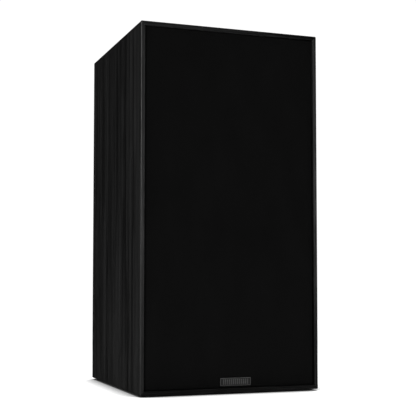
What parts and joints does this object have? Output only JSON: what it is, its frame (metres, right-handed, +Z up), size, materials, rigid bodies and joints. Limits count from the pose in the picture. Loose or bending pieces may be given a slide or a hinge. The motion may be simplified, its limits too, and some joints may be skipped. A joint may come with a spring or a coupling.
{
  "type": "bookshelf speaker",
  "caption": "Upright two-way bookshelf loudspeaker: black cabinet, pull-off cloth grille, woofer, dome tweeter, rear port and screw terminals.",
  "frame": {"origin": "middle of the footprint, in the plane the four feet stand on", "axes": "+Z up, -Y out of the grille, +X to the right as seen by someone facing the grille"},
  "size_m": [0.23, 0.2448, 0.445],
  "materials": {
    "black_ash_vinyl": "black ash wood-grain vinyl wrap on fibreboard, satin",
    "black_paint": "fibreboard painted satin black",
    "raw_board": "raw fibreboard",
    "black_rubber": "matte black rubber",
    "black_plastic": "fine-textured black moulding",
    "grille_cloth": "stretched black acoustic knit",
    "badge_metal": "brushed dark grey, plain with a fine border",
    "painted_steel": "black paint on pressed steel",
    "cone_paper": "black coated paper",
    "spider_cloth": "resin-dipped cotton, corrugated",
    "copper": "enamelled copper wire",
    "zinc_steel": "zinc-plated mild steel",
    "ferrite": "ground dark grey ferrite",
    "black_zinc": "black zinc screws",
    "silk": "coated black silk",
    "gold_plate": "gold-plated brass",
    "black_cap": "black moulded cap",
    "red_cap": "red moulded cap",
    "circuit_board": "green solder mask",
    "capacitor_wrap": "yellow film wrap",
    "lead_insulation": "red and black twin wire",
    "polyester_fibre": "loose white fibre wadding"
  },
  "bodies": {
    "cabinet": {"left_side_panel": "black_ash_vinyl", "right_side_panel": "black_ash_vinyl", "top_panel": "black_ash_vinyl", "bottom_panel": "black_ash_vinyl", "rear_panel": "black_ash_vinyl", "front_baffle": "black_paint", "window_brace": "raw_board", "foot_front_left": "black_rubber", "foot_front_right": "black_rubber", "foot_rear_left": "black_rubber", "foot_rear_right": "black_rubber", "grille_socket_lower_left": "black_rubber", "grille_socket_upper_left": "black_rubber", "grille_socket_lower_right": "black_rubber", "grille_socket_upper_right": "black_rubber", "woofer_basket": "painted_steel", "woofer_surround": "black_rubber", "woofer_spider": "spider_cloth", "woofer_top_plate": "zinc_steel", "woofer_magnet": "ferrite", "woofer_yoke": "zinc_steel", "woofer_screw_1": "black_zinc", "woofer_screw_2": "black_zinc", "woofer_screw_3": "black_zinc", "woofer_screw_4": "black_zinc", "tweeter_faceplate": "black_plastic", "tweeter_top_plate": "zinc_steel", "tweeter_magnet": "ferrite", "tweeter_yoke": "zinc_steel", "tweeter_rear_chamber": "black_plastic", "tweeter_screw_1": "black_zinc", "tweeter_screw_2": "black_zinc", "tweeter_screw_3": "black_zinc", "port_tube": "black_plastic", "terminal_cup": "black_plastic", "cup_screw_1": "black_zinc", "cup_screw_2": "black_zinc", "cup_screw_3": "black_zinc", "cup_screw_4": "black_zinc", "negative_post_stud": "gold_plate", "positive_post_stud": "gold_plate", "crossover_board": "circuit_board", "woofer_inductor": "copper", "tweeter_capacitor": "capacitor_wrap", "woofer_lead": "lead_insulation", "tweeter_lead": "lead_insulation", "upper_damping_wad": "polyester_fibre", "lower_damping_wad": "polyester_fibre"},
    "grille": {"grille_frame": "black_plastic", "grille_cloth": "grille_cloth", "badge_plate": "badge_metal"},
    "woofer_diaphragm": {"woofer_cone": "cone_paper", "woofer_dust_cap": "cone_paper", "woofer_voice_coil": "copper"},
    "tweeter_diaphragm": {"tweeter_dome": "silk", "tweeter_voice_coil": "copper"},
    "negative_collar": {"negative_post_collar": "gold_plate"},
    "negative_cap": {"negative_post_cap": "black_cap"},
    "positive_collar": {"positive_post_collar": "gold_plate"},
    "positive_cap": {"positive_post_cap": "red_cap"}
  },
  "joints": [
    {"name": "grille_pull", "type": "slide", "parent": "cabinet", "child": "grille", "axis": [0, -1, 0], "range_m": [0, 0.1]},
    {"name": "woofer_excursion", "type": "slide", "parent": "cabinet", "child": "woofer_diaphragm", "axis": [0, -1, 0], "range_m": [-0.005, 0.005], "stiffness_N_per_m": 1000, "deforming": ["woofer_surround", "woofer_spider"]},
    {"name": "tweeter_excursion", "type": "slide", "parent": "cabinet", "child": "tweeter_diaphragm", "axis": [0, -1, 0], "range_m": [-0.0003, 0.0003], "stiffness_N_per_m": 1000},
    {"name": "negative_collar_slide", "type": "slide", "parent": "cabinet", "child": "negative_collar", "axis": [0, 1, 0], "range_m": [0, 0.005]},
    {"name": "negative_cap_turn", "type": "hinge", "parent": "negative_collar", "child": "negative_cap", "pos_m": [-0.00953, 0.1, 0.12], "axis": [0, 1, 0], "range_deg": [0, 1800]},
    {"name": "positive_collar_slide", "type": "slide", "parent": "cabinet", "child": "positive_collar", "axis": [0, 1, 0], "range_m": [0, 0.005]},
    {"name": "positive_cap_turn", "type": "hinge", "parent": "positive_collar", "child": "positive_cap", "pos_m": [0.00953, 0.1, 0.12], "axis": [0, 1, 0], "range_deg": [0, 1800]}
  ],
  "couplings": [
    {"joint": "negative_cap_turn", "follows": "negative_collar_slide", "rad_per_m": 6283.2},
    {"joint": "positive_cap_turn", "follows": "positive_collar_slide", "rad_per_m": 6283.2}
  ]
}
